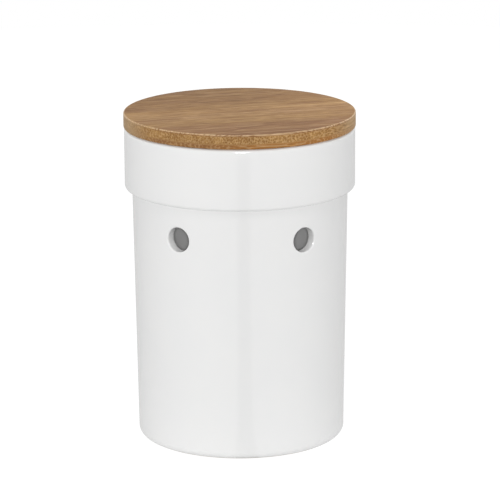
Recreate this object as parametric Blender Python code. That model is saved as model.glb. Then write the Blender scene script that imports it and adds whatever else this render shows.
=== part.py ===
"""Onion jar: a vented stoneware jar with a wide collar, and a bamboo lid that plugs into its mouth.

Metres, +Z up. The origin is the centre of the foot, on the surface that the jar stands on.
The front is -Y: the front pair of vents looks that way.
"""

import math

import bmesh
import bpy
from mathutils import Vector

# Stoneware jar
JAR_HEIGHT = 0.2053
COLLAR_DIAMETER = 0.1494
COLLAR_HEIGHT = 0.0399
COLLAR_CORNER_ROUND = 0.0029
SHOULDER_DIAMETER = 0.1398
SHOULDER_FILLET = 0.0008
BASE_DIAMETER = 0.1346
BASE_ROUND = 0.0052
WALL = 0.0065
RIM_OUTER_ROUND = 0.0022
RIM_INNER_ROUND = 0.0018

# Inside of the jar
FLOOR_THICKNESS = 0.0070
FLOOR_FILLET = 0.0070
LEDGE_RISE = 0.0045
LEDGE_ROUND = 0.0040

# Unglazed foot ring under the jar
FOOT_RING_WIDTH = 0.0050
FOOT_RECESS = 0.0016
FOOT_RING_ROUND = 0.0007
FOOT_RING_SLOPE = 0.0010

# Vent holes below the collar
VENT_COUNT = 5
VENT_DIAMETER = 0.0160
VENT_DROP = 0.0227
VENT_OUTER_ROUND = 0.0006
VENT_INNER_ROUND = 0.0005
FRONT_PAIR_ANGLE = math.radians(70)

# Bamboo board on top
BOARD_THICKNESS = 0.0093
BOARD_OVERHANG = 0.0003
BOARD_TOP_ROUND = 0.0009
BOARD_BOTTOM_ROUND = 0.0006

# Bamboo plug under the board, with the groove that holds the seal
PLUG_SIDE_GAP = 0.0022
PLUG_EDGE_ROUND = 0.0012
GROOVE_DROP = 0.0022
GROOVE_HEIGHT = 0.0066
GROOVE_DEPTH = 0.0032
GROOVE_SILL = 0.0024

# Silicone seal ring
LIP_COUNT = 3
LIP_PLACE_SHARE = 0.55
LIP_ROOT_SHARE = 0.46
LIP_TIP_SHARE = 0.24
LIP_SWEEP_SHARE = 0.30

# Gaps between pieces that are glued to, rest on, turn in or slide past each other
GLUE_LINE = 0.0003
SEAT_GAP = 0.0003
RUNNING_GAP = 0.0003

# How finely round shapes are divided
SEGMENTS = 84
ARC_STEPS = 3
VENT_SIDES = 24
VENT_ARC_STEPS = 2
MERGE_DISTANCE = 0.00001
SHARP_ANGLE = math.radians(32)

# The flare of a vent stops short of a full quarter turn, so that it crosses the wall at a clean angle
VENT_FLARE_ANGLE = math.radians(70)
CUT_OVERRUN = 0.0020

# Sizes that follow from the ones above
COLLAR_RADIUS = COLLAR_DIAMETER / 2
SHOULDER_RADIUS = SHOULDER_DIAMETER / 2
BASE_RADIUS = BASE_DIAMETER / 2
MOUTH_RADIUS = COLLAR_RADIUS - WALL
COLLAR_BOTTOM = JAR_HEIGHT - COLLAR_HEIGHT
FLOOR_TOP = FOOT_RECESS + FLOOR_THICKNESS
LEDGE_BOTTOM = COLLAR_BOTTOM + WALL / 2
LEDGE_TOP = LEDGE_BOTTOM + LEDGE_RISE
FOOT_RING_OUTER = BASE_RADIUS - BASE_ROUND
FOOT_RING_INNER = FOOT_RING_OUTER - FOOT_RING_WIDTH
VENT_RADIUS = VENT_DIAMETER / 2
VENT_HEIGHT = COLLAR_BOTTOM - VENT_DROP
BOARD_RADIUS = COLLAR_RADIUS + BOARD_OVERHANG
BOARD_SEAT = JAR_HEIGHT + SEAT_GAP
PLUG_RADIUS = MOUTH_RADIUS - PLUG_SIDE_GAP
PLUG_THICKNESS = GROOVE_DROP + GROOVE_HEIGHT + GROOVE_SILL
GROOVE_RADIUS = PLUG_RADIUS - GROOVE_DEPTH
SEAL_INNER_RADIUS = GROOVE_RADIUS + RUNNING_GAP
SEAL_REACH_RADIUS = MOUTH_RADIUS - RUNNING_GAP
SEAL_HEIGHT = GROOVE_HEIGHT - 2 * RUNNING_GAP


def clear_scene():
    for item in list(bpy.data.objects):
        bpy.data.objects.remove(item, do_unlink=True)


def make_material(name, colour, roughness, metallic=0.0):
    material = bpy.data.materials.new(name)
    material.use_nodes = True
    shader = material.node_tree.nodes["Principled BSDF"]
    shader.inputs["Base Color"].default_value = (*colour, 1.0)
    shader.inputs["Roughness"].default_value = roughness
    shader.inputs["Metallic"].default_value = metallic
    return material


def add_object(name, mesh, material):
    piece = bpy.data.objects.new(name, mesh)
    bpy.context.scene.collection.objects.link(piece)
    piece.data.materials.append(material)
    return piece


def add_empty(name, location, parent=None):
    empty = bpy.data.objects.new(name, None)
    bpy.context.scene.collection.objects.link(empty)
    empty.location = location
    empty.parent = parent
    return empty


def round_corner(before, corner, after, rounding):
    """Points of the arc that rounds one corner; the arc never eats more than half of either side."""
    to_before = before - corner
    to_after = after - corner
    half_angle = to_before.angle(to_after) / 2
    reach = min(rounding / math.tan(half_angle), to_before.length / 2, to_after.length / 2)
    radius = reach * math.tan(half_angle)
    bisector = (to_before.normalized() + to_after.normalized()).normalized()
    centre = corner + bisector * (radius / math.sin(half_angle))
    first_spoke = corner + to_before.normalized() * reach - centre
    last_spoke = corner + to_after.normalized() * reach - centre
    turn = math.pi - 2 * half_angle
    points = []
    for step in range(ARC_STEPS + 1):
        angle = turn * step / ARC_STEPS
        spoke = first_spoke * math.sin(turn - angle) + last_spoke * math.sin(angle)
        points.append(centre + spoke / math.sin(turn))
    return points


def outline(corners, closed=False):
    """Profile points (radius, height) from corners (radius, height, rounding)."""
    places = [Vector((radius, height)) for radius, height, _ in corners]
    points = []
    for index, (_, _, rounding) in enumerate(corners):
        at_end = index in (0, len(corners) - 1) and not closed
        if at_end or rounding == 0:
            points.append(places[index])
            continue
        after = places[(index + 1) % len(places)]
        points.extend(round_corner(places[index - 1], places[index], after, rounding))
    return points


def turned_mesh(name, points, closed=False):
    """Spin a profile once round the Z axis; the ends of an open profile lie on the axis."""
    shape = bmesh.new()
    verts = [shape.verts.new((point.x, 0, point.y)) for point in points]
    edges = [shape.edges.new(pair) for pair in zip(verts, verts[1:])]
    if closed:
        edges.append(shape.edges.new((verts[-1], verts[0])))
    bmesh.ops.spin(
        shape, geom=verts + edges, cent=(0, 0, 0), axis=(0, 0, 1),
        angle=math.tau, steps=SEGMENTS, use_merge=True,
    )
    bmesh.ops.remove_doubles(shape, verts=shape.verts, dist=MERGE_DISTANCE)
    bmesh.ops.recalc_face_normals(shape, faces=shape.faces)
    mesh = bpy.data.meshes.new(name)
    shape.to_mesh(mesh)
    shape.free()
    mesh.shade_smooth()
    mesh.set_sharp_from_angle(angle=SHARP_ANGLE)
    return mesh


def body_radius(height):
    """Outer radius of the tapered body at one height."""
    return BASE_RADIUS + (SHOULDER_RADIUS - BASE_RADIUS) * height / COLLAR_BOTTOM


def jar_outline():
    """From the middle of the inside floor, up the inside, over the rim and down the outside."""
    return outline([
        (0, FLOOR_TOP, 0),
        (body_radius(FLOOR_TOP) - WALL, FLOOR_TOP, FLOOR_FILLET),
        (body_radius(LEDGE_BOTTOM) - WALL, LEDGE_BOTTOM, LEDGE_ROUND),
        (MOUTH_RADIUS, LEDGE_TOP, LEDGE_ROUND),
        (MOUTH_RADIUS, JAR_HEIGHT, RIM_INNER_ROUND),
        (COLLAR_RADIUS, JAR_HEIGHT, RIM_OUTER_ROUND),
        (COLLAR_RADIUS, COLLAR_BOTTOM, COLLAR_CORNER_ROUND),
        (SHOULDER_RADIUS, COLLAR_BOTTOM, SHOULDER_FILLET),
        (BASE_RADIUS, 0, BASE_ROUND),
        (FOOT_RING_INNER, 0, FOOT_RING_ROUND),
        (FOOT_RING_INNER - FOOT_RING_SLOPE, FOOT_RECESS, FOOT_RING_ROUND),
        (0, FOOT_RECESS, 0),
    ])


def flare(rounding):
    """A vent's rounded edge as (spread, depth) steps, from the bore out towards the wall's face."""
    angles = [VENT_FLARE_ANGLE * step / VENT_ARC_STEPS for step in range(VENT_ARC_STEPS + 1)]
    return [(rounding * (1 - math.cos(angle)), rounding * (1 - math.sin(angle))) for angle in angles]


def vent_profile():
    """One vent's rings (radius, depth below the outer wall), from outside the wall to inside it."""
    outer = [(VENT_RADIUS + spread, depth) for spread, depth in reversed(flare(VENT_OUTER_ROUND))]
    inner = [(VENT_RADIUS + spread, WALL - depth) for spread, depth in flare(VENT_INNER_ROUND)]
    widening = CUT_OVERRUN * math.tan(VENT_FLARE_ANGLE)
    outside = (outer[0][0] + widening, outer[0][1] - CUT_OVERRUN)
    inside = (inner[-1][0] + widening, inner[-1][1] + CUT_OVERRUN)
    return [outside] + outer + inner + [inside]


def vent_angles():
    """Directions of the vents from the front: the front pair, then the rest spread evenly behind it."""
    step = (math.tau - FRONT_PAIR_ANGLE) / (VENT_COUNT - 1)
    return [FRONT_PAIR_ANGLE / 2 + step * index for index in range(VENT_COUNT)]


def add_vent_cutter(shape, direction):
    """Add one closed cutter whose rings follow the round, tapered wall."""
    outward = Vector((math.sin(direction), -math.cos(direction), 0))
    sideways = Vector((math.cos(direction), math.sin(direction), 0))
    rings = []
    for ring_radius, depth in vent_profile():
        ring = []
        for index in range(VENT_SIDES):
            angle = math.tau * index / VENT_SIDES
            across = ring_radius * math.cos(angle)
            height = VENT_HEIGHT + ring_radius * math.sin(angle)
            wall_radius = body_radius(height) - depth
            out = math.sqrt(wall_radius ** 2 - across ** 2)
            ring.append(shape.verts.new(outward * out + sideways * across + Vector((0, 0, height))))
        rings.append(ring)
    for near, far in zip(rings, rings[1:]):
        for index in range(VENT_SIDES):
            following = (index + 1) % VENT_SIDES
            shape.faces.new((near[index], near[following], far[following], far[index]))
    for ring in (rings[0], rings[-1]):
        middle = shape.verts.new(sum((vert.co for vert in ring), Vector()) / VENT_SIDES)
        for index in range(VENT_SIDES):
            shape.faces.new((ring[index], ring[(index + 1) % VENT_SIDES], middle))


def make_vent_cutters(material):
    shape = bmesh.new()
    for direction in vent_angles():
        add_vent_cutter(shape, direction)
    bmesh.ops.recalc_face_normals(shape, faces=shape.faces)
    mesh = bpy.data.meshes.new("vent_cutters")
    shape.to_mesh(mesh)
    shape.free()
    mesh.shade_smooth()
    cutters = add_object("vent_cutters", mesh, material)
    cutters.hide_render = True
    cutters.display_type = "WIRE"
    return cutters


def make_jar(material):
    jar = add_object("jar_body", turned_mesh("jar_body", jar_outline()), material)
    vents = jar.modifiers.new("vents", "BOOLEAN")
    vents.operation = "DIFFERENCE"
    vents.solver = "EXACT"
    vents.object = make_vent_cutters(material)
    return jar


def make_board(material):
    """The board's heights are counted from its underside, where it sits above the rim."""
    shape = outline([
        (0, BOARD_THICKNESS, 0),
        (BOARD_RADIUS, BOARD_THICKNESS, BOARD_TOP_ROUND),
        (BOARD_RADIUS, 0, BOARD_BOTTOM_ROUND),
        (0, 0, 0),
    ])
    return add_object("lid_board", turned_mesh("lid_board", shape), material)


def make_plug(material):
    """The plug hangs below the board's underside, behind a thin glue line."""
    top = -GLUE_LINE
    groove_top = top - GROOVE_DROP
    groove_bottom = groove_top - GROOVE_HEIGHT
    bottom = top - PLUG_THICKNESS
    shape = outline([
        (0, top, 0),
        (PLUG_RADIUS, top, 0),
        (PLUG_RADIUS, groove_top, 0),
        (GROOVE_RADIUS, groove_top, 0),
        (GROOVE_RADIUS, groove_bottom, 0),
        (PLUG_RADIUS, groove_bottom, 0),
        (PLUG_RADIUS, bottom, PLUG_EDGE_ROUND),
        (0, bottom, 0),
    ])
    return add_object("lid_plug", turned_mesh("lid_plug", shape), material)


def make_seal(material):
    """A flat band in the groove, with thin lips that sweep up and out to the wall of the mouth."""
    top = -GLUE_LINE - GROOVE_DROP - RUNNING_GAP
    bottom = top - SEAL_HEIGHT
    pitch = SEAL_HEIGHT / LIP_COUNT
    corners = [(SEAL_INNER_RADIUS, bottom, 0), (SEAL_INNER_RADIUS, top, 0), (PLUG_RADIUS, top, 0)]
    for index in range(LIP_COUNT):
        middle = top - pitch * (index + LIP_PLACE_SHARE)
        tip = middle + pitch * LIP_SWEEP_SHARE
        corners += [
            (PLUG_RADIUS, middle + pitch * LIP_ROOT_SHARE / 2, 0),
            (SEAL_REACH_RADIUS, tip + pitch * LIP_TIP_SHARE / 2, 0),
            (SEAL_REACH_RADIUS, tip - pitch * LIP_TIP_SHARE / 2, 0),
            (PLUG_RADIUS, middle - pitch * LIP_ROOT_SHARE / 2, 0),
        ]
    corners.append((PLUG_RADIUS, bottom, 0))
    shape = outline(corners, closed=True)
    return add_object("seal_ring", turned_mesh("seal_ring", shape, closed=True), material)


def build():
    clear_scene()
    glaze = make_material("white_glaze", (0.86, 0.86, 0.85), 0.12)
    bamboo = make_material("bamboo", (0.38, 0.235, 0.125), 0.5)
    plug_bamboo = make_material("plug_bamboo", (0.42, 0.27, 0.15), 0.55)
    silicone = make_material("silicone", (0.80, 0.81, 0.80), 0.35)

    make_jar(glaze)
    lid_lift = add_empty("lid_lift", (0, 0, BOARD_SEAT))
    lid_turn = add_empty("lid_turn", (0, 0, 0), lid_lift)
    make_seal(silicone).parent = lid_lift
    make_board(bamboo).parent = lid_turn
    make_plug(plug_bamboo).parent = lid_turn


build()
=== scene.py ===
"""Looks of the onion jar: glazed stoneware, a bamboo lid and a silicone seal, in a plain white studio.

Metres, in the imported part's own frame: +Z up, the front at -Y, the origin at the centre of the foot.
"""

import math
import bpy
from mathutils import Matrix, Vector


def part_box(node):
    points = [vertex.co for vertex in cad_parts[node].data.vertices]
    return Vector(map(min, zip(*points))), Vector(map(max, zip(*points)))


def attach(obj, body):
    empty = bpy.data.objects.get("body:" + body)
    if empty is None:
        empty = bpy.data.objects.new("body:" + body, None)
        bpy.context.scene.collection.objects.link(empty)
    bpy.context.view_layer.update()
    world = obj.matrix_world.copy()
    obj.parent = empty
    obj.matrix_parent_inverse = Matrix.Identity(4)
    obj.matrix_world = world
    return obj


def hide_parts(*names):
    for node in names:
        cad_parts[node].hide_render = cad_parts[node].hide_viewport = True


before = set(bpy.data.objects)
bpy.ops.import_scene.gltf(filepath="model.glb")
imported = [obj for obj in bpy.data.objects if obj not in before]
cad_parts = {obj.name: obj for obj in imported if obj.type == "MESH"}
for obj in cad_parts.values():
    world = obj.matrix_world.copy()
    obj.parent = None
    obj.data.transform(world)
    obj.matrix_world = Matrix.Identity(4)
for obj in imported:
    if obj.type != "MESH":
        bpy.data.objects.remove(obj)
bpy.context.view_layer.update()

from types import SimpleNamespace

import bmesh
import bpy
from mathutils import Euler, Vector

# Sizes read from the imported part
jar_low, jar_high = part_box("jar_body")
board_low, board_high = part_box("lid_board")
plug_low, plug_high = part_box("lid_plug")
seal_low, seal_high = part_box("seal_ring")
JAR_HEIGHT = jar_high.z
COLLAR_RADIUS = jar_high.y
BOARD_RADIUS = board_high.x
PLUG_RADIUS = plug_high.x
SEAL_REACH_RADIUS = seal_high.x

# Stoneware jar
COLLAR_HEIGHT = 0.0399
COLLAR_CORNER_ROUND = 0.0029
SHOULDER_RADIUS = 0.0699
SHOULDER_FILLET = 0.0008
BASE_RADIUS = 0.0673
BASE_ROUND = 0.0052
WALL = 0.0065
RIM_OUTER_ROUND = 0.0022
RIM_INNER_ROUND = 0.0018
FLOOR_THICKNESS = 0.0070
FLOOR_FILLET = 0.0070
LEDGE_RISE = 0.0045
LEDGE_ROUND = 0.0040
FOOT_RING_WIDTH = 0.0050
FOOT_RECESS = 0.0016
FOOT_RING_ROUND = 0.0007
FOOT_RING_SLOPE = 0.0010

# Vent holes
VENT_COUNT = 5
VENT_RADIUS = 0.0080
VENT_DROP = 0.0227
VENT_OUTER_ROUND = 0.0010
VENT_INNER_ROUND = 0.0005
FRONT_PAIR_ANGLE = math.radians(70)
LEFT_FRONT_DRIFT = (-0.0007, 0.0007)

# Lid and seal
BOARD_TOP_ROUND = 0.0009
BOARD_BOTTOM_ROUND = 0.0006
PLUG_EDGE_ROUND = 0.0012
PLUG_SAWN_ROUND = 0.0003
GROOVE_DROP = 0.0022
GROOVE_HEIGHT = 0.0066
GROOVE_DEPTH = 0.0032
LIP_COUNT = 3
LIP_PLACE_SHARE = 0.55
LIP_ROOT_SHARE = 0.46
LIP_TIP_SHARE = 0.24
LIP_SWEEP_SHARE = 0.30
LIP_ROUND = 0.0002
SEAL_EDGE_ROUND = 0.0003

# How finely the pieces are divided
COLUMNS = 288
ARC_STEPS = 8
LONGEST_RUN = 0.006
VENT_BORE_STEPS = 5
WINDOW_STEPS = 6
WINDOW_COLUMNS = 10
WINDOW_ROWS = 16
WINDOW_ROW_HEIGHT = 0.0015
WINDOW_CROWDING = 1.5

# Sizes that follow from the ones above
MOUTH_RADIUS = COLLAR_RADIUS - WALL
COLLAR_BOTTOM = JAR_HEIGHT - COLLAR_HEIGHT
FLOOR_TOP = FOOT_RECESS + FLOOR_THICKNESS
LEDGE_BOTTOM = COLLAR_BOTTOM + WALL / 2
LEDGE_TOP = LEDGE_BOTTOM + LEDGE_RISE
FOOT_RING_INNER = BASE_RADIUS - BASE_ROUND - FOOT_RING_WIDTH
VENT_HEIGHT = COLLAR_BOTTOM - VENT_DROP
COLUMN_ANGLE = math.tau / COLUMNS


# Shapes


def round_corner(before, corner, after, rounding):
    """Points of the arc that rounds one corner; the arc never eats more than half of either side."""
    to_before = before - corner
    to_after = after - corner
    half_angle = to_before.angle(to_after) / 2
    reach = min(rounding / math.tan(half_angle), to_before.length / 2, to_after.length / 2)
    radius = reach * math.tan(half_angle)
    bisector = (to_before.normalized() + to_after.normalized()).normalized()
    centre = corner + bisector * (radius / math.sin(half_angle))
    first_spoke = corner + to_before.normalized() * reach - centre
    last_spoke = corner + to_after.normalized() * reach - centre
    turn = math.pi - 2 * half_angle
    points = []
    for step in range(ARC_STEPS + 1):
        angle = turn * step / ARC_STEPS
        spoke = first_spoke * math.sin(turn - angle) + last_spoke * math.sin(angle)
        points.append(centre + spoke / math.sin(turn))
    return points


def outline(corners, closed=False):
    """Profile points (radius, height) from corners (radius, height, rounding); long runs are divided."""
    places = [Vector((radius, height)) for radius, height, _ in corners]
    points = []
    for index, (_, _, rounding) in enumerate(corners):
        at_end = index in (0, len(corners) - 1) and not closed
        if at_end or rounding == 0:
            points.append(places[index])
            continue
        after = places[(index + 1) % len(places)]
        points.extend(round_corner(places[index - 1], places[index], after, rounding))
    divided = [points[0]]
    for start, end in zip(points, points[1:]):
        parts = max(1, math.ceil((end - start).length / LONGEST_RUN))
        divided += [start.lerp(end, part / parts) for part in range(1, parts + 1)]
    return divided


def add_ring(shape, point):
    """A ring of vertices round the axis, from the front; a point on the axis gives one vertex."""
    radius, height = point
    if radius == 0:
        return [shape.verts.new((0, 0, height))]
    angles = [COLUMN_ANGLE * column for column in range(COLUMNS)]
    return [shape.verts.new((radius * math.sin(a), -radius * math.cos(a), height)) for a in angles]


def join_rings(shape, near, far, open_columns=()):
    """Faces between two rings, apart from the columns that are left open."""
    for column in range(max(len(near), len(far))):
        if column in open_columns:
            continue
        corners = []
        for ring, places in ((near, (column, column + 1)), (far, (column + 1, column))):
            for place in places:
                vert = ring[place % len(ring)]
                if vert not in corners:
                    corners.append(vert)
        shape.faces.new(corners)


def finish_piece(name, shape, body, node, material):
    """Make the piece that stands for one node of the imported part."""
    bmesh.ops.recalc_face_normals(shape, faces=shape.faces)
    mesh = bpy.data.meshes.new(name)
    shape.to_mesh(mesh)
    shape.free()
    mesh.shade_smooth()
    mesh.materials.append(material)
    piece = bpy.data.objects.new(name, mesh)
    bpy.context.scene.collection.objects.link(piece)
    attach(piece, body)
    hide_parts(node)
    return piece


def turned_shape(points, closed=False):
    """The shape that a profile makes when it is turned round the axis."""
    shape = bmesh.new()
    rings = [add_ring(shape, point) for point in points]
    following = rings[1:] + rings[:1] if closed else rings[1:]
    for near, far in zip(rings, following):
        join_rings(shape, near, far)
    return shape


# The jar


def body_radius(height):
    """Outer radius of the tapered body at one height."""
    return BASE_RADIUS + (SHOULDER_RADIUS - BASE_RADIUS) * height / COLLAR_BOTTOM


def window_heights():
    """Heights of the grid's rows across a vent, from below it to above it."""
    rows = range(WINDOW_ROWS + 1)
    return [VENT_HEIGHT + WINDOW_ROW_HEIGHT * (row - WINDOW_ROWS / 2) for row in rows]


def wall_corners(depth):
    """The window rows as profile corners, so that both faces of the wall have the same rows."""
    return [(body_radius(height) - depth, height, 0) for height in window_heights()]


def jar_outline():
    """From the middle of the inside floor, up the inside, over the rim and down the outside."""
    return outline([
        (0, FLOOR_TOP, 0),
        (body_radius(FLOOR_TOP) - WALL, FLOOR_TOP, FLOOR_FILLET),
        *wall_corners(WALL),
        (body_radius(LEDGE_BOTTOM) - WALL, LEDGE_BOTTOM, LEDGE_ROUND),
        (MOUTH_RADIUS, LEDGE_TOP, LEDGE_ROUND),
        (MOUTH_RADIUS, JAR_HEIGHT, RIM_INNER_ROUND),
        (COLLAR_RADIUS, JAR_HEIGHT, RIM_OUTER_ROUND),
        (COLLAR_RADIUS, COLLAR_BOTTOM, COLLAR_CORNER_ROUND),
        (SHOULDER_RADIUS, COLLAR_BOTTOM, SHOULDER_FILLET),
        *reversed(wall_corners(0)),
        (BASE_RADIUS, 0, BASE_ROUND),
        (FOOT_RING_INNER, 0, FOOT_RING_ROUND),
        (FOOT_RING_INNER - FOOT_RING_SLOPE, FOOT_RECESS, FOOT_RING_ROUND),
        (0, FOOT_RECESS, 0),
    ])


def vent_columns():
    """Columns of the vents' middles: the front pair, then the rest spread evenly behind it."""
    step = (math.tau - FRONT_PAIR_ANGLE) / (VENT_COUNT - 1)
    angles = [FRONT_PAIR_ANGLE / 2 + step * index for index in range(VENT_COUNT)]
    return [round(angle / COLUMN_ANGLE) for angle in angles]


def window_rings(rings, points, depth):
    """The rings that cross the vents on one face of the wall, from below to above: indices and rings."""
    rows = []
    for radius, height, _ in wall_corners(depth):
        place = Vector((radius, height))
        rows.append(min(range(len(points)), key=lambda index: (points[index] - place).length))
    return rows, [rings[row] for row in rows]


def window_loop(rows, middle):
    """Vertices of the grid round one vent's window, anticlockwise from the middle of its right side."""
    right = (middle + WINDOW_COLUMNS) % COLUMNS
    left = (middle - WINDOW_COLUMNS) % COLUMNS
    half = WINDOW_ROWS // 2
    loop = [rows[row][right] for row in range(half, WINDOW_ROWS)]
    loop += [rows[-1][(middle + step) % COLUMNS] for step in range(WINDOW_COLUMNS, -WINDOW_COLUMNS, -1)]
    loop += [rows[row][left] for row in range(WINDOW_ROWS, 0, -1)]
    loop += [rows[0][(middle + step) % COLUMNS] for step in range(-WINDOW_COLUMNS, WINDOW_COLUMNS)]
    loop += [rows[row][right] for row in range(half)]
    return loop


def vent_profile():
    """One vent's rings (radius, depth below the outer face), rounded at both ends of the bore."""
    angles = [math.pi / 2 * step / ARC_STEPS for step in range(ARC_STEPS + 1)]
    flare = [(1 - math.cos(angle), 1 - math.sin(angle)) for angle in angles]
    outer = [(VENT_RADIUS + VENT_OUTER_ROUND * s, VENT_OUTER_ROUND * d) for s, d in reversed(flare)]
    inner = [(VENT_RADIUS + VENT_INNER_ROUND * s, WALL - VENT_INNER_ROUND * d) for s, d in flare]
    start, end = outer[-1][1], inner[0][1]
    shares = [step / VENT_BORE_STEPS for step in range(1, VENT_BORE_STEPS)]
    bore = [(VENT_RADIUS, start + (end - start) * share) for share in shares]
    return outer + bore + inner


def add_vent(shape, middle, drift, outer_rows, inner_rows):
    """Lead the grid on both faces of the wall into one round, lipped hole; drift (across, up) shifts it."""
    direction = COLUMN_ANGLE * middle
    outward = Vector((math.sin(direction), -math.cos(direction), 0))
    sideways = Vector((math.cos(direction), math.sin(direction), 0))
    outer_loop = window_loop(outer_rows, middle)
    inner_loop = window_loop(inner_rows, middle)
    angles = [math.tau * index / len(outer_loop) for index in range(len(outer_loop))]
    circle = [Vector((math.cos(angle), math.sin(angle))) for angle in angles]

    def round_hole(radius):
        return [spoke * radius + Vector(drift) for spoke in circle]

    def add_wall_ring(places, depth):
        """A ring at one depth in the wall from places (across, up) about the vent's middle."""
        ring = []
        for across, up in places:
            height = VENT_HEIGHT + up
            out = math.sqrt((body_radius(height) - depth) ** 2 - across ** 2)
            ring.append(shape.verts.new(outward * out + sideways * across + Vector((0, 0, height))))
        return ring

    def between(loop, radius, share):
        """Places part of the way from a circle to the window's edge."""
        places = []
        for place, vert in zip(round_hole(radius), loop):
            edge = Vector((vert.co.dot(sideways), vert.co.z - VENT_HEIGHT))
            places.append(place.lerp(edge, share))
        return places

    profile = vent_profile()
    outer_radius, inner_radius = profile[0][0], profile[-1][0]
    shares = [(step / WINDOW_STEPS) ** WINDOW_CROWDING for step in range(1, WINDOW_STEPS)]
    rings = [outer_loop]
    rings += [add_wall_ring(between(outer_loop, outer_radius, share), 0) for share in reversed(shares)]
    rings += [add_wall_ring(round_hole(radius), depth) for radius, depth in profile]
    rings += [add_wall_ring(between(inner_loop, inner_radius, share), WALL) for share in shares]
    rings += [inner_loop]
    for near, far in zip(rings, rings[1:]):
        join_rings(shape, near, far)


def make_jar(material):
    """One turned wall, inside and out, left open in a window round each vent, which add_vent then fills."""
    shape = bmesh.new()
    points = jar_outline()
    rings = [add_ring(shape, point) for point in points]
    outer_indices, outer_rows = window_rings(rings, points, 0)
    inner_indices, inner_rows = window_rings(rings, points, WALL)
    open_rows = set(inner_indices[:-1]) | set(outer_indices[1:])
    window = range(-WINDOW_COLUMNS, WINDOW_COLUMNS)
    open_columns = {(middle + step) % COLUMNS for middle in vent_columns() for step in window}
    for index, (near, far) in enumerate(zip(rings, rings[1:])):
        join_rings(shape, near, far, open_columns if index in open_rows else ())
    drifts = [(0, 0)] * (VENT_COUNT - 1) + [LEFT_FRONT_DRIFT]
    for middle, drift in zip(vent_columns(), drifts):
        add_vent(shape, middle, drift, outer_rows, inner_rows)
    return finish_piece("jar", shape, "jar", "jar_body", material)


# The lid


def make_board(material):
    """The round board that shows as the lid."""
    top, bottom = board_high.z, board_low.z
    shape = turned_shape(outline([
        (0, top, 0),
        (BOARD_RADIUS, top, BOARD_TOP_ROUND),
        (BOARD_RADIUS, bottom, BOARD_BOTTOM_ROUND),
        (0, bottom, 0),
    ]))
    return finish_piece("board", shape, "lid", "lid_board", material)


def make_plug(material):
    """The disc under the board, with the seal's groove round its edge."""
    top, bottom = plug_high.z, plug_low.z
    groove_top = top - GROOVE_DROP
    groove_bottom = groove_top - GROOVE_HEIGHT
    groove_radius = PLUG_RADIUS - GROOVE_DEPTH
    shape = turned_shape(outline([
        (0, top, 0),
        (PLUG_RADIUS, top, PLUG_SAWN_ROUND),
        (PLUG_RADIUS, groove_top, PLUG_SAWN_ROUND),
        (groove_radius, groove_top, PLUG_SAWN_ROUND),
        (groove_radius, groove_bottom, PLUG_SAWN_ROUND),
        (PLUG_RADIUS, groove_bottom, PLUG_SAWN_ROUND),
        (PLUG_RADIUS, bottom, PLUG_EDGE_ROUND),
        (0, bottom, 0),
    ]))
    return finish_piece("plug", shape, "lid", "lid_plug", material)


def make_seal(material):
    """A flat band in the groove, with thin lips that sweep up and out to the wall of the mouth."""
    top, bottom = seal_high.z, seal_low.z
    inner_radius = PLUG_RADIUS - GROOVE_DEPTH + (MOUTH_RADIUS - SEAL_REACH_RADIUS)
    pitch = (top - bottom) / LIP_COUNT
    corners = [
        (inner_radius, bottom, SEAL_EDGE_ROUND),
        (inner_radius, top, SEAL_EDGE_ROUND),
        (PLUG_RADIUS, top, SEAL_EDGE_ROUND),
    ]
    for index in range(LIP_COUNT):
        middle = top - pitch * (index + LIP_PLACE_SHARE)
        tip = middle + pitch * LIP_SWEEP_SHARE
        corners += [
            (PLUG_RADIUS, middle + pitch * LIP_ROOT_SHARE / 2, LIP_ROUND),
            (SEAL_REACH_RADIUS, tip + pitch * LIP_TIP_SHARE / 2, LIP_ROUND),
            (SEAL_REACH_RADIUS, tip - pitch * LIP_TIP_SHARE / 2, LIP_ROUND),
            (PLUG_RADIUS, middle - pitch * LIP_ROOT_SHARE / 2, LIP_ROUND),
        ]
    corners.append((PLUG_RADIUS, bottom, SEAL_EDGE_ROUND))
    shape = turned_shape(outline(corners, closed=True), closed=True)
    return finish_piece("seal", shape, "seal", "seal_ring", material)


# Materials

# A BAND holds the two values of a noise between which a mark comes in, and a FADE two places in metres


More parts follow.
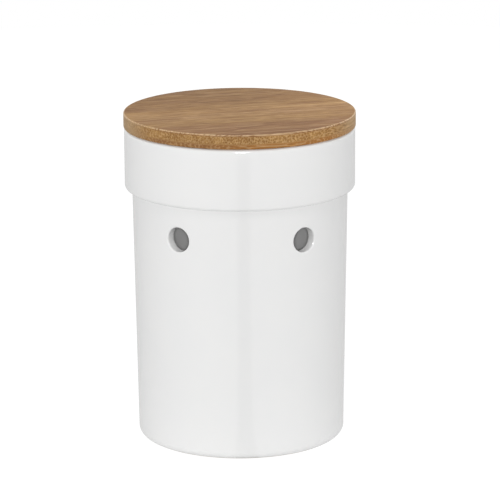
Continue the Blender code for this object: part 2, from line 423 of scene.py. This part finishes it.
class NodeTree:
    """Short calls for building a material's or the world's nodes."""

    def __init__(self, owner):
        owner.use_nodes = True
        self.tree = owner.node_tree
        self.tree.nodes.clear()

    def add(self, kind, inputs=None, **settings):
        """Add a node; inputs maps a socket's name or index to a value or to another node's socket."""
        node = self.tree.nodes.new(kind)
        for name, value in settings.items():
            setattr(node, name, value)
        for socket, value in (inputs or {}).items():
            if isinstance(value, bpy.types.NodeSocket):
                self.tree.links.new(value, node.inputs[socket])
            else:
                node.inputs[socket].default_value = value
        return node

    def calc(self, operation, *values):
        return self.add("ShaderNodeMath", dict(enumerate(values)), operation=operation).outputs[0]

    def mix(self, factor, first, second, blend_type="MIX"):
        """A colour part of the way from the first to the second, or to their product."""
        inputs = {0: factor, 6: first, 7: second}
        return self.add("ShaderNodeMix", inputs, data_type="RGBA", blend_type=blend_type).outputs[2]

    def blend(self, factor, first, second):
        """A number part of the way from the first to the second."""
        inputs = {0: factor, 2: first, 3: second}
        return self.add("ShaderNodeMix", inputs, data_type="FLOAT").outputs[0]

    def ramp(self, value, band, results=(0.0, 1.0)):
        """A smooth step from the first result to the second as the value crosses the band, up or down."""
        inputs = {"Value": value, "From Min": band[0], "From Max": band[1]}
        inputs.update({"To Min": results[0], "To Max": results[1]})
        return self.add("ShaderNodeMapRange", inputs, interpolation_type="SMOOTHSTEP").outputs[0]

    def radius(self, x, y):
        """Distance from the vertical axis."""
        return self.calc("SQRT", self.calc("MULTIPLY_ADD", x, x, self.calc("MULTIPLY", y, y)))

    def vector(self, x, y, z):
        return self.add("ShaderNodeCombineXYZ", {0: x, 1: y, 2: z}).outputs[0]

    def noise(self, vector, scale, detail=2.0, roughness=0.5):
        inputs = {"Vector": vector, "Scale": scale, "Detail": detail, "Roughness": roughness}
        return self.add("ShaderNodeTexNoise", inputs).outputs[0]

    def object_place(self, turn=0.0):
        """Object coordinates turned about the vertical axis, as one vector and as three numbers."""
        place = self.add("ShaderNodeTexCoord").outputs["Object"]
        turned = self.add("ShaderNodeMapping", {"Vector": place, "Rotation": (0, 0, -turn)}).outputs[0]
        parts = self.add("ShaderNodeSeparateXYZ", {0: turned}).outputs
        return turned, parts[0], parts[1], parts[2]

    def bump(self, height, distance, strength):
        inputs = {"Height": height, "Distance": distance, "Strength": strength}
        return self.add("ShaderNodeBump", inputs).outputs[0]

    def glow(self, colour, strength):
        return self.add("ShaderNodeEmission", {"Color": colour, "Strength": strength}).outputs[0]

    def end_surface(self, shader):
        self.add("ShaderNodeOutputMaterial", {"Surface": shader})


# Glaze, and the bare clay under the foot ring

GLAZE_COLOUR = (0.885, 0.885, 0.88, 1)
GLAZE_POOL_COLOUR = (0.875, 0.877, 0.875, 1)
GLAZE_VENT_PAINTED_LIGHT = (0.95, 0.95, 0.945, 1)
GLAZE_CLOUD_SCALE = 35.0
GLAZE_POOL_BAND = (0.35, 0.75)
GLAZE_ROUGHNESS_BAND = (0.3, 0.7)
GLAZE_ROUGHNESS = (0.07, 0.12)
GLAZE_IOR = 1.52
ORANGE_PEEL_SCALE = 110.0
GLAZE_BUMP = 0.00006
GLAZE_BUMP_STRENGTH = 0.35
VENT_RISE_FADE = (VENT_RADIUS + 0.0018, VENT_RADIUS + 0.0008)
VENT_OUTSIDE_FADE = (0.0002, 0.0010)
VENT_INSIDE_FADE = (WALL - 0.0003, WALL - 0.0011)

CLAY_COLOUR = (0.66, 0.60, 0.50, 1)
CLAY_GRAIN_COLOUR = (0.56, 0.50, 0.41, 1)
CLAY_GRAIN_SCALE = 1400.0
CLAY_GRAIN_BAND = (0.3, 0.7)
CLAY_EXTRA_ROUGHNESS = 0.7
GLAZE_LINE = 0.0007
GLAZE_LINE_WANDER = 0.0003
GLAZE_LINE_SCALE = 160.0


def in_vents(nodes, z, radius):
    """1 inside the wall at the vents' height, where the only faces are their bores, and 0 elsewhere."""
    off_middle = nodes.calc("ABSOLUTE", nodes.calc("SUBTRACT", z, VENT_HEIGHT))
    under_skin = nodes.calc("SUBTRACT", body_radius(VENT_HEIGHT), radius)
    off_outside = nodes.ramp(under_skin, VENT_OUTSIDE_FADE)
    off_inside = nodes.ramp(under_skin, VENT_INSIDE_FADE)
    in_wall = nodes.calc("MULTIPLY", off_outside, off_inside)
    return nodes.calc("MULTIPLY", nodes.ramp(off_middle, VENT_RISE_FADE), in_wall)


def make_glaze():
    """Glossy white glaze, faintly uneven, paler in the vent bores as painted light, stopping at the bare
    clay of the foot ring.
    """
    material = bpy.data.materials.new("white_glaze")
    nodes = NodeTree(material)
    place, x, y, z = nodes.object_place()
    radius = nodes.radius(x, y)

    clouds = nodes.noise(place, GLAZE_CLOUD_SCALE, detail=3.0)
    glaze = nodes.mix(nodes.ramp(clouds, GLAZE_POOL_BAND), GLAZE_COLOUR, GLAZE_POOL_COLOUR)
    # Painted light: the vent bores get a paler glaze, so that they look brighter than their shading makes
    # them.
    glaze = nodes.mix(in_vents(nodes, z, radius), glaze, GLAZE_VENT_PAINTED_LIGHT)
    roughness = nodes.ramp(clouds, GLAZE_ROUGHNESS_BAND, GLAZE_ROUGHNESS)
    orange_peel = nodes.noise(place, ORANGE_PEEL_SCALE, detail=1.0)

    grain = nodes.noise(place, CLAY_GRAIN_SCALE)
    clay = nodes.mix(nodes.ramp(grain, CLAY_GRAIN_BAND), CLAY_COLOUR, CLAY_GRAIN_COLOUR)
    wander = nodes.noise(place, GLAZE_LINE_SCALE)
    low = nodes.calc("LESS_THAN", z, nodes.calc("MULTIPLY_ADD", wander, GLAZE_LINE_WANDER, GLAZE_LINE))
    on_ring = nodes.calc("GREATER_THAN", radius, FOOT_RING_INNER - FOOT_RING_ROUND)
    bare = nodes.calc("MULTIPLY", low, on_ring)

    surface = nodes.blend(bare, orange_peel, grain)
    shader = nodes.add("ShaderNodeBsdfPrincipled", {
        "Base Color": nodes.mix(bare, glaze, clay),
        "Roughness": nodes.calc("MULTIPLY_ADD", bare, CLAY_EXTRA_ROUGHNESS, roughness),
        "IOR": GLAZE_IOR,
        "Normal": nodes.bump(surface, GLAZE_BUMP, GLAZE_BUMP_STRENGTH),
    })
    nodes.end_surface(shader.outputs[0])
    return material


# Bamboo: colours, from the palest down, with a painted highlight and a painted sheen among them, and two
# painted shades that multiply them

BAMBOO_WORN_AND_HIGHLIGHT = (0.76, 0.55, 0.34, 1)
BAMBOO_PALE = (0.60, 0.40, 0.21, 1)
BAMBOO_PAINTED_SHEEN = (0.54, 0.40, 0.25, 1)
BAMBOO_LIGHT = (0.465, 0.270, 0.098, 1)
BAMBOO_ORANGE = (0.385, 0.170, 0.036, 1)
BAMBOO_MIDDLE = (0.325, 0.170, 0.054, 1)
BAMBOO_RED = (0.265, 0.122, 0.054, 1)
BAMBOO_DARK = (0.185, 0.092, 0.036, 1)
BACK_PAINTED_SHADE = (0.73, 0.69, 0.63, 1)
FRONT_PAINTED_SHADE = (0.86, 0.83, 0.77, 1)

# Bamboo: plies, and the strips that each is glued up from
GRAIN_TURN = math.radians(15)
CORE_TURN = math.radians(70)
TOP_PLY = 0.0013
BOTTOM_PLY = 0.0030
PLY_WAVE = 0.0016
PLY_WAVE_SCALE = 90.0
PLY_BLUR = (0.0012, 0.0004)
STRIP_WIDTH = 0.0215
STRIP_SHIFT = 0.37
GLUE_BAND = (0.006, 0.0)
GLUE_STRENGTH = 0.4

# Bamboo: marks, with sizes as length along the grain and width
CLOUD_SIZE = (0.045, 0.013)
BROAD_SIZE = (0.022, 0.0062)
FINE_SIZE = (0.0075, 0.0008)
WANDER_SIZE = (0.045, 0.016)
WANDER_SIDEWAYS = 1.6
WANDER_UPWARD = 4.0
FIBRE_PITCH = 0.00115
FIBRE_STRETCH = 1.5
FIBRE_RANDOMNESS = 0.75
BROAD_BAND = (0.36, 0.64)
FINE_BAND = (0.32, 0.68)
FINE_STRENGTH = 0.40
CUT_BAND = (0.32, 0.14)
CUT_CLOUD_BAND = (0.35, 0.62)
CUT_STRENGTH = (0.25, 0.85)
CUT_STRENGTH_BELOW = (0.5, 0.15)
PITH_BAND = (0.40, 0.56)
PITH_STRENGTH = 0.40

# Bamboo: tone from place to place, along (to the right) or across (to the back) the faces' grain, with
# painted sheen on the top's right and the rim's ends, and painted shade at the back and the top's front
BLUSH_PER_STRIP = 0.25
BLUSH_CLOUD_BAND = (0.45, 0.70)
BLUSH_PER_CLOUD = 0.4
BLUSH_FRONT_FADE = (-0.030, -0.042)
BLUSH_AT_FRONT = 0.6
BLUSH_ON_FACES = 0.95
BLUSH_IN_CORE = 0.1
ORANGE_FADE = (-0.045, -0.010)
ORANGE_STRENGTH = (0.1, 0.6)
STRIP_TONE_LOWEST = 0.985
STRIP_TONE_SPREAD = 0.10
TOP_PAINTED_SHEEN_FADE = (0.0, 0.070)
TOP_PAINTED_SHEEN = 1.15
BRIGHTER_RIM_FADE = (-0.040, 0.020)
BRIGHTER_RIM = 1.20
BACK_FADE = (-0.005, 0.028)
FRONT_FADE = (-0.008, -0.046)
PAINTED_SHEEN_START = 0.055
PAINTED_SHEEN_STRENGTH = 0.45

# Bamboo: wear with a painted highlight on the top edge, and surface
EDGE_BAND_WIDTH = 0.0010
WORN_HIGHLIGHT_BAND = (0.35, 0.60)
WORN_HIGHLIGHT_STRENGTH = (0.1, 0.8)
BAMBOO_BUMP = 0.00004
BAMBOO_BUMP_STRENGTH = 0.5
CUT_BUMP = -0.6
ROUGHNESS_OF_FINE = 0.10
ROUGHNESS_OF_CUT = 0.08
ROUGHNESS_OF_WEAR = -0.20
BOARD_ROUGHNESS = 0.45
BOARD_SEED = 0.0
PLUG_ROUGHNESS = 0.50
PLUG_SEED = 5.0
BAMBOO_IOR = 1.45
BAMBOO_SPECULAR = 0.09


def crossed_plies(nodes, top, bottom):
    """Three plies: a thin top and a wavy bottom one with the faces' grain, and between them the core.

    along and across follow the faces' grain, and place follows each ply's own. core and below are 0 to 1.
    """
    turned, along, across, z = nodes.object_place(GRAIN_TURN)
    _, core_along, core_across, _ = nodes.object_place(CORE_TURN)
    under_top = nodes.calc("LESS_THAN", z, top - TOP_PLY)
    wave = nodes.noise(turned, PLY_WAVE_SCALE, detail=3.0)
    wavy_z = nodes.calc("MULTIPLY_ADD", wave, PLY_WAVE, z)
    below = nodes.ramp(wavy_z, [bottom + BOTTOM_PLY + blur for blur in PLY_BLUR])
    core = nodes.calc("SUBTRACT", under_top, below)
    place = (nodes.blend(core, along, core_along), nodes.blend(core, across, core_across), z)
    ply = nodes.calc("ADD", under_top, below)
    return SimpleNamespace(along=along, across=across, place=place, ply=ply, core=core, below=below)


def glued_strips(nodes, wood, seed):
    """The place across the strips, in strip widths, and three random numbers for each strip."""
    shift = nodes.calc("MULTIPLY_ADD", wood.ply, STRIP_SHIFT, seed)
    strips = nodes.calc("ADD", nodes.calc("DIVIDE", wood.place[1], STRIP_WIDTH), shift)
    key = nodes.vector(nodes.calc("FLOOR", strips), wood.ply, seed)
    chance = nodes.add("ShaderNodeTexWhiteNoise", {"Vector": key}, noise_dimensions="3D")
    return strips, nodes.add("ShaderNodeSeparateXYZ", {0: chance.outputs["Color"]}).outputs


def streaks(nodes, place, size, detail=2.0, roughness=0.5):
    """Noise drawn out along the fibres, with marks of about this length and width."""
    along, across, up = place
    length, width = size
    stretched = nodes.vector(
        nodes.calc("DIVIDE", along, length),
        nodes.calc("DIVIDE", across, width),
        nodes.calc("DIVIDE", up, width),
    )
    return nodes.noise(stretched, 1.0, detail, roughness)


def fibre_bundles(nodes, place, luck):
    """Distance from the nearest bundle of fibres; bundles wander a little on their way through."""
    _, across, up = place
    wander = streaks(nodes, place, WANDER_SIZE)
    column = nodes.calc("DIVIDE", across, FIBRE_PITCH)
    level = nodes.calc("DIVIDE", up, FIBRE_PITCH * FIBRE_STRETCH)
    sideways = nodes.calc("MULTIPLY_ADD", wander, WANDER_SIDEWAYS, column)
    upward = nodes.calc("ADD", level, nodes.calc("MULTIPLY_ADD", wander, WANDER_UPWARD, luck))
    cell = nodes.vector(sideways, upward, 0.0)
    inputs = {"Vector": cell, "Scale": 1.0, "Randomness": FIBRE_RANDOMNESS}
    return nodes.add("ShaderNodeTexVoronoi", inputs, voronoi_dimensions="2D").outputs[0]


def cut_fibres(nodes, wood, bundles, clouds):
    """Dark dots where the fibres end, stronger in some clouds than in others and faint in the lowest ply."""
    strength = nodes.ramp(clouds, CUT_CLOUD_BAND, CUT_STRENGTH)
    strength_below = nodes.ramp(wood.along, ORANGE_FADE, CUT_STRENGTH_BELOW)
    strength = nodes.blend(wood.below, strength, strength_below)
    return nodes.calc("MULTIPLY", nodes.ramp(bundles, CUT_BAND), strength)


def red_blush(nodes, wood, clouds, luck):
    """How red the wood is: by strip, by cloud and towards the front, and hardly in the core."""
    by_cloud = nodes.ramp(clouds, BLUSH_CLOUD_BAND, (0.0, BLUSH_PER_CLOUD))
    blush = nodes.calc("MULTIPLY_ADD", luck, BLUSH_PER_STRIP, by_cloud)
    blush = nodes.calc("ADD", blush, nodes.ramp(wood.across, BLUSH_FRONT_FADE, (0.0, BLUSH_AT_FRONT)))
    return nodes.calc("MULTIPLY", blush, nodes.blend(wood.core, BLUSH_ON_FACES, BLUSH_IN_CORE))


def toned(nodes, colour, wood, near_top, radius, luck):
    """The colour in each strip's own tone; the rim brighter to the right, painted shade at the back and the
    top's front.

    A painted sheen brightens the top to the right and greys the rim at its left and right ends.
    """
    tone = nodes.calc("MULTIPLY_ADD", luck, STRIP_TONE_SPREAD, STRIP_TONE_LOWEST)
    # Painted sheen: the top grows brighter to the right.
    top_painted_sheen = nodes.ramp(wood.along, TOP_PAINTED_SHEEN_FADE, (1.0, TOP_PAINTED_SHEEN))
    rim_gain = nodes.ramp(wood.along, BRIGHTER_RIM_FADE, (1.0, BRIGHTER_RIM))
    tone = nodes.calc("MULTIPLY", tone, nodes.blend(near_top, rim_gain, top_painted_sheen))
    colour = nodes.mix(1.0, colour, nodes.vector(tone, tone, tone), "MULTIPLY")
    # Painted shade: darker towards the back.
    colour = nodes.mix(nodes.ramp(wood.across, BACK_FADE), colour, BACK_PAINTED_SHADE, "MULTIPLY")
    # Painted sheen: the rim's left and right ends are greyed.
    _, x, _, _ = nodes.object_place()
    at_ends = nodes.ramp(nodes.calc("ABSOLUTE", x), (PAINTED_SHEEN_START, radius), (0.0, PAINTED_SHEEN_STRENGTH))
    painted_sheen = nodes.calc("MULTIPLY", at_ends, nodes.calc("SUBTRACT", 1.0, near_top))
    colour = nodes.mix(painted_sheen, colour, BAMBOO_PAINTED_SHEEN)
    # Painted shade: the top darker towards its front.
    to_front = nodes.calc("MULTIPLY", near_top, nodes.ramp(wood.across, FRONT_FADE))
    return nodes.mix(to_front, colour, FRONT_PAINTED_SHADE, "MULTIPLY")


def make_bamboo(name, top, bottom, radius, roughness, seed):
    """Caramel bamboo as a solid texture: dots where its fibres are cut, and streaks along them."""
    material = bpy.data.materials.new(name)
    nodes = NodeTree(material)
    wood = crossed_plies(nodes, top, bottom)
    strips, luck = glued_strips(nodes, wood, seed)
    off_axis = nodes.radius(wood.along, wood.across)
    near_rim = nodes.ramp(off_axis, (radius - EDGE_BAND_WIDTH, radius - EDGE_BAND_WIDTH / 3))
    near_top = nodes.ramp(wood.place[2], (top - EDGE_BAND_WIDTH, top - EDGE_BAND_WIDTH / 3))
    on_edge = nodes.calc("MULTIPLY", near_rim, near_top)

    clouds = streaks(nodes, wood.place, CLOUD_SIZE)
    broad = streaks(nodes, wood.place, BROAD_SIZE, detail=4.0, roughness=0.68)
    fine = streaks(nodes, wood.place, FINE_SIZE)
    bundles = fibre_bundles(nodes, wood.place, luck[0])
    cuts = cut_fibres(nodes, wood, bundles, clouds)
    pith = nodes.calc("MULTIPLY", nodes.ramp(bundles, PITH_BAND), PITH_STRENGTH)
    orange = nodes.calc("MULTIPLY", wood.below, nodes.ramp(wood.along, ORANGE_FADE, ORANGE_STRENGTH))
    glue = nodes.ramp(nodes.calc("PINGPONG", strips, 0.5), GLUE_BAND, (0.0, GLUE_STRENGTH))
    # Partly wear and partly a painted highlight: the rounded top edge is paler, standing for the light it
    # catches.
    worn_and_highlight = nodes.calc("MULTIPLY", on_edge, nodes.ramp(fine, WORN_HIGHLIGHT_BAND, WORN_HIGHLIGHT_STRENGTH))

    colour = nodes.mix(nodes.ramp(broad, BROAD_BAND), BAMBOO_MIDDLE, BAMBOO_LIGHT)
    colour = nodes.mix(red_blush(nodes, wood, clouds, luck[1]), colour, BAMBOO_RED)
    colour = nodes.mix(orange, colour, BAMBOO_ORANGE)
    colour = nodes.mix(pith, colour, BAMBOO_PALE)
    colour = nodes.mix(cuts, colour, BAMBOO_DARK)
    colour = nodes.mix(nodes.ramp(fine, FINE_BAND, (0.0, FINE_STRENGTH)), colour, BAMBOO_DARK)
    colour = nodes.mix(glue, colour, BAMBOO_DARK)
    colour = toned(nodes, colour, wood, near_top, radius, luck[2])
    colour = nodes.mix(worn_and_highlight, colour, BAMBOO_WORN_AND_HIGHLIGHT)

    dulled = nodes.calc("MULTIPLY_ADD", fine, ROUGHNESS_OF_FINE, roughness)
    dulled = nodes.calc("MULTIPLY_ADD", cuts, ROUGHNESS_OF_CUT, dulled)
    height = nodes.calc("MULTIPLY_ADD", cuts, CUT_BUMP, fine)
    shader = nodes.add("ShaderNodeBsdfPrincipled", {
        "Base Color": colour,
        "Roughness": nodes.calc("MULTIPLY_ADD", on_edge, ROUGHNESS_OF_WEAR, dulled),
        "IOR": BAMBOO_IOR,
        "Specular IOR Level": BAMBOO_SPECULAR,
        "Normal": nodes.bump(height, BAMBOO_BUMP, BAMBOO_BUMP_STRENGTH),
    })
    nodes.end_surface(shader.outputs[0])
    return material


# Silicone

SILICONE_COLOUR = (0.80, 0.81, 0.80, 1)
SILICONE_HAZE_COLOUR = (0.72, 0.74, 0.73, 1)
SILICONE_HAZE_SCALE = 220.0
SILICONE_HAZE_BAND = (0.3, 0.7)
SILICONE_ROUGHNESS = (0.30, 0.42)
SILICONE_SKIN_SCALE = 2600.0
SILICONE_BUMP = 0.00002
SILICONE_BUMP_STRENGTH = 0.5
SILICONE_IOR = 1.41
SILICONE_MILKINESS = 0.35
SILICONE_LIGHT_DEPTH = 0.002


def make_silicone():
    """Milky silicone with a satin skin and a trace of moulding haze."""
    material = bpy.data.materials.new("silicone")
    nodes = NodeTree(material)
    place, _, _, _ = nodes.object_place()
    haze = nodes.noise(place, SILICONE_HAZE_SCALE, detail=3.0)
    hazy = nodes.ramp(haze, SILICONE_HAZE_BAND)
    skin = nodes.noise(place, SILICONE_SKIN_SCALE)
    shader = nodes.add("ShaderNodeBsdfPrincipled", {
        "Base Color": nodes.mix(hazy, SILICONE_COLOUR, SILICONE_HAZE_COLOUR),
        "Roughness": nodes.ramp(haze, SILICONE_HAZE_BAND, SILICONE_ROUGHNESS),
        "IOR": SILICONE_IOR,
        "Subsurface Weight": SILICONE_MILKINESS,
        "Subsurface Scale": SILICONE_LIGHT_DEPTH,
        "Normal": nodes.bump(skin, SILICONE_BUMP, SILICONE_BUMP_STRENGTH),
    })
    nodes.end_surface(shader.outputs[0])
    return material


# Studio

WHITE = (1, 1, 1, 1)
FLOOR_RADIUS = 1.5
FLOOR_SIDES = 96
FLOOR_COLOUR = (0.60, 0.60, 0.60, 1)
FLOOR_COLOUR_SEEN = (0.10, 0.10, 0.10, 1)
FLOOR_GLOW_SEEN = 0.97
TABLE_GLOW = 0.29
TABLE_GLOW_RADIUS = 0.22
CARD_COLOUR = (0.70, 0.70, 0.70, 1)
CARD_RISE = 0.0004
SLIT_BEARING = math.radians(2.5)
SLIT_HALF_ANGLE = math.radians(6.5)
SLIT_BLUR = math.radians(1.0)
WORLD_LIGHT = 0.46


def seen_directly(nodes):
    """1 for what the camera, a reflection or clear material sees, 0 for light that falls on things."""
    path = nodes.add("ShaderNodeLightPath").outputs
    seen = nodes.calc("MAXIMUM", path["Is Camera Ray"], path["Is Glossy Ray"])
    return nodes.calc("MAXIMUM", seen, path["Is Transmission Ray"])


def make_world(light):
    """A white surround that also lights the jar evenly from all sides."""
    world = bpy.data.worlds.new("white_surround")
    nodes = NodeTree(world)
    strength = nodes.blend(seen_directly(nodes), light, 1.0)
    background = nodes.add("ShaderNodeBackground", {"Color": WHITE, "Strength": strength})
    nodes.add("ShaderNodeOutputWorld", {"Surface": background.outputs[0]})
    bpy.context.scene.world = world


def add_disc(name, radius, height, material):
    """A flat round sheet of the studio, lying level round the jar's axis."""
    shape = bmesh.new()
    bmesh.ops.create_circle(shape, cap_ends=True, segments=FLOOR_SIDES, radius=radius)
    mesh = bpy.data.meshes.new(name)
    shape.to_mesh(mesh)
    shape.free()
    mesh.materials.append(material)
    disc = bpy.data.objects.new(name, mesh)
    disc.location = (0, 0, height)
    bpy.context.scene.collection.objects.link(disc)
    return disc


def make_floor():
    """A white sheet that shows only a faint shadow when seen, and bounces light as a pale floor does."""
    material = bpy.data.materials.new("floor_sheet")
    nodes = NodeTree(material)
    _, x, y, _ = nodes.object_place()
    pale = nodes.add("ShaderNodeBsdfDiffuse", {"Color": FLOOR_COLOUR}).outputs[0]
    from_below = nodes.ramp(nodes.radius(x, y), (0.0, TABLE_GLOW_RADIUS), (TABLE_GLOW, 0.0))
    bounce = nodes.add("ShaderNodeAddShader", {0: pale, 1: nodes.glow(WHITE, from_below)}).outputs[0]
    shaded = nodes.add("ShaderNodeBsdfDiffuse", {"Color": FLOOR_COLOUR_SEEN}).outputs[0]
    white = nodes.glow(WHITE, FLOOR_GLOW_SEEN)
    seen = nodes.add("ShaderNodeAddShader", {0: shaded, 1: white}).outputs[0]
    sheet = nodes.add("ShaderNodeMixShader", {0: seen_directly(nodes), 1: bounce, 2: seen})
    nodes.end_surface(sheet.outputs[0])
    material.cycles.emission_sampling = "NONE"
    add_disc("floor", FLOOR_RADIUS, 0, material)


def make_reflected_card():
    """A grey card on the floor that only reflections see, so that the glaze's edges stand out from white.

    Its black slit towards the front gives the glaze the faint upright line of the studio's camera.
    """
    material = bpy.data.materials.new("grey_card")
    nodes = NodeTree(material)
    _, x, y, _ = nodes.object_place()
    bearing = nodes.calc("ARCTAN2", x, nodes.calc("MULTIPLY", y, -1.0))
    off_slit = nodes.calc("ABSOLUTE", nodes.calc("SUBTRACT", bearing, SLIT_BEARING))
    shine = nodes.ramp(off_slit, (SLIT_HALF_ANGLE - SLIT_BLUR, SLIT_HALF_ANGLE + SLIT_BLUR))
    nodes.end_surface(nodes.glow(CARD_COLOUR, shine))
    material.cycles.emission_sampling = "NONE"
    card = add_disc("reflected_card", FLOOR_RADIUS, CARD_RISE, material)
    card.visible_camera = False
    card.visible_diffuse = False
    card.visible_transmission = False
    card.visible_shadow = False


def direction_from(azimuth, elevation):
    """Unit vector towards an azimuth, from the front and positive to the right, and an elevation."""
    turn, rise = math.radians(azimuth), math.radians(elevation)
    return Vector((math.sin(turn) * math.cos(rise), -math.cos(turn) * math.cos(rise), math.sin(rise)))


def add_lamp(name, azimuth, elevation, distance, size, power, mirrored=False):
    """A rectangular soft lamp that faces the jar's middle; the glaze mirrors it only where asked."""
    light = bpy.data.lights.new(name, "AREA")
    light.shape = "RECTANGLE"
    light.size, light.size_y = size
    light.energy = power
    lamp = bpy.data.objects.new(name, light)
    bpy.context.scene.collection.objects.link(lamp)
    towards = direction_from(azimuth, elevation)
    lamp.location = Vector((0, 0, JAR_HEIGHT / 2)) + towards * distance
    lamp.rotation_euler = towards.to_track_quat("Z", "Y").to_euler()
    lamp.visible_camera = False
    lamp.visible_glossy = mirrored
    return lamp


CAMERA_DISTANCE = 1.9839
CAMERA_RISE = 0.4146
CAMERA_AZIMUTH = -0.87
CAMERA_PITCH = 14.349
CAMERA_YAW = 0.181
CAMERA_ROLL = 0.309
CAMERA_LENS = 226.02
CAMERA_SENSOR = 36
CAMERA_NEAR = 0.05
CAMERA_FAR = 20


def make_camera():
    """The photograph's camera: a long lens, a little above the lid and slightly rolled."""
    camera = bpy.data.cameras.new("camera")
    camera.lens = CAMERA_LENS
    camera.sensor_width = CAMERA_SENSOR
    camera.clip_start = CAMERA_NEAR
    camera.clip_end = CAMERA_FAR
    holder = bpy.data.objects.new("camera", camera)
    bpy.context.scene.collection.objects.link(holder)
    level = Vector((0, 0, board_high.z + CAMERA_RISE))
    holder.location = direction_from(CAMERA_AZIMUTH, 0) * CAMERA_DISTANCE + level
    heading = Euler((math.radians(90 - CAMERA_PITCH), 0, math.radians(CAMERA_AZIMUTH - CAMERA_YAW)))
    roll = Euler((0, 0, math.radians(-CAMERA_ROLL)))
    holder.rotation_euler = (heading.to_matrix() @ roll.to_matrix()).to_euler()
    bpy.context.scene.camera = holder


# Lamps: angles in degrees, the front lamp in line with the camera, the others round the jar

SOFTBOX_DISTANCE = 1.3
FRONT_LAMP = {"azimuth": CAMERA_AZIMUTH, "elevation": 14.75, "distance": 2.05, "size": (0.06, 0.06)}
CATCH_LIGHT = {"azimuth": 1.2, "elevation": 22, "distance": 2.3, "size": (0.42, 0.35)}
HIGH_SOFTBOX = {"azimuth": 0, "elevation": 50, "distance": SOFTBOX_DISTANCE, "size": (0.5, 0.4)}
LEFT_SIDE = {"azimuth": -85, "elevation": 8, "distance": SOFTBOX_DISTANCE, "size": (0.6, 0.4)}
RIGHT_SIDE = {"azimuth": 85, "elevation": 8, "distance": SOFTBOX_DISTANCE, "size": (0.6, 0.4)}
TOP_SOFTBOX = {"azimuth": 0, "elevation": 90, "distance": SOFTBOX_DISTANCE, "size": (0.7, 0.7)}
REAR_LAMP = {"azimuth": 150, "elevation": 35, "distance": SOFTBOX_DISTANCE, "size": (0.5, 0.5)}
FRONT_LAMP_POWER = 13.2
CATCH_LIGHT_POWER = 36.0
HIGH_SOFTBOX_POWER = 1.5
LEFT_SIDE_POWER = 2.8
RIGHT_SIDE_POWER = 1.8
TOP_SOFTBOX_POWER = 4.2
REAR_LAMP_POWER = 2.0


def make_studio(glazed):
    """Surround, floor and lamps; the catch light only glints on what is in the glazed collection."""
    make_world(WORLD_LIGHT)
    make_floor()
    make_reflected_card()
    add_lamp("front_lamp", **FRONT_LAMP, power=FRONT_LAMP_POWER)
    catch_light = add_lamp("catch_light", **CATCH_LIGHT, power=CATCH_LIGHT_POWER, mirrored=True)
    catch_light.visible_diffuse = False
    catch_light.light_linking.receiver_collection = glazed
    add_lamp("high_softbox", **HIGH_SOFTBOX, power=HIGH_SOFTBOX_POWER)
    add_lamp("left_side", **LEFT_SIDE, power=LEFT_SIDE_POWER)
    add_lamp("right_side", **RIGHT_SIDE, power=RIGHT_SIDE_POWER)
    add_lamp("top_softbox", **TOP_SOFTBOX, power=TOP_SOFTBOX_POWER, mirrored=True)
    add_lamp("rear_lamp", **REAR_LAMP, power=REAR_LAMP_POWER, mirrored=True)


def make_pieces():
    """All the pieces; the jar is also returned in a collection of its own, for the catch light."""
    glazed = bpy.data.collections.new("glazed")
    glazed.objects.link(make_jar(make_glaze()))
    board = (board_high.z, board_low.z, BOARD_RADIUS, BOARD_ROUGHNESS, BOARD_SEED)
    plug = (plug_high.z, plug_low.z, PLUG_RADIUS, PLUG_ROUGHNESS, PLUG_SEED)
    make_board(make_bamboo("bamboo", *board))
    make_plug(make_bamboo("plug_bamboo", *plug))
    make_seal(make_silicone())
    return glazed


make_studio(make_pieces())
make_camera()
bpy.context.scene.view_settings.view_transform = "Standard"
